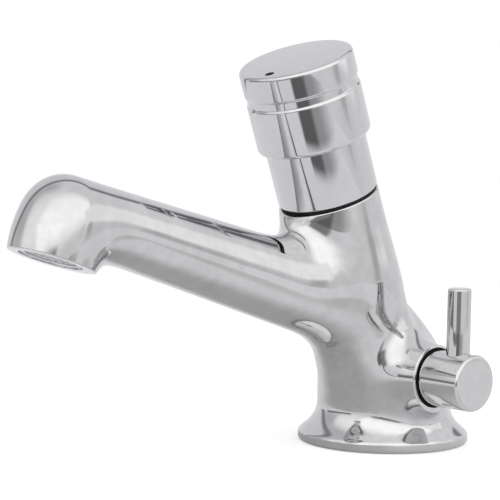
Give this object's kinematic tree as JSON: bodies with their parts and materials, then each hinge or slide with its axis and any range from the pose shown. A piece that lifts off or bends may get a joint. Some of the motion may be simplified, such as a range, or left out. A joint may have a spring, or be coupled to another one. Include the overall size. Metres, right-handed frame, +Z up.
{
  "type": "push timed tap",
  "caption": "Chrome push timed basin tap with a leaning push-button head, a raised spout with an aerator and a temperature lever on the right.",
  "frame": {"origin": "centre of the foot on the deck plane, over the middle of the tap hole", "axes": "+Z up from the deck, -Y forward along the spout to the outlet, +X to the side that carries the lever"},
  "size_m": [0.0698, 0.1744, 0.1268],
  "materials": {
    "chrome_plate": "bright chrome plate on polished brass",
    "machined_brass": "turned brass",
    "bright_steel": "drawn stainless steel",
    "black_rubber": "matte black rubber",
    "white_ceramic": "lapped ceramic",
    "grey_plastic": "moulded grey plastic",
    "satin_chrome_plastic": "chrome-plated plastic",
    "black_enamel": "black enamel"
  },
  "bodies": {
    "tap": {"tap_body": "chrome_plate", "base_gasket": "black_rubber", "aerator_housing": "satin_chrome_plastic", "aerator_insert": "grey_plastic", "aerator_washer": "black_rubber", "head_sleeve": "chrome_plate", "sleeve_seal": "black_rubber", "cartridge_housing": "machined_brass", "cartridge_o_rings": "black_rubber", "cartridge_cover": "machined_brass", "seat_washer": "black_rubber", "return_spring": "bright_steel", "side_port_seal": "black_rubber", "fixed_ceramic_disc": "white_ceramic", "side_carrier": "grey_plastic", "side_gland_nut": "machined_brass", "lever_dust_seal": "black_rubber", "mixing_stem_o_ring": "black_rubber"},
    "button": {"push_cap": "chrome_plate", "cap_marker": "black_enamel", "push_stem": "bright_steel", "piston": "grey_plastic", "piston_lip_seal": "black_rubber", "valve_disc": "black_rubber", "valve_nut": "machined_brass"},
    "lever": {"lever_hub": "chrome_plate", "lever_pin": "chrome_plate", "hub_grub_screw": "bright_steel", "mixing_stem": "machined_brass", "moving_ceramic_disc": "white_ceramic"}
  },
  "joints": [
    {"name": "push", "type": "slide", "parent": "tap", "child": "button", "axis": [0, -0.3469, 0.9379], "range_m": [-0.006, 0], "stiffness_N_per_m": 1500, "springref_m": 0.01, "deforming": ["return_spring"]},
    {"name": "mix", "type": "hinge", "parent": "tap", "child": "lever", "pos_m": [0.0268, -0.00506, 0.0236], "axis": [1, 0, 0], "range_deg": [-45, 45]}
  ]
}
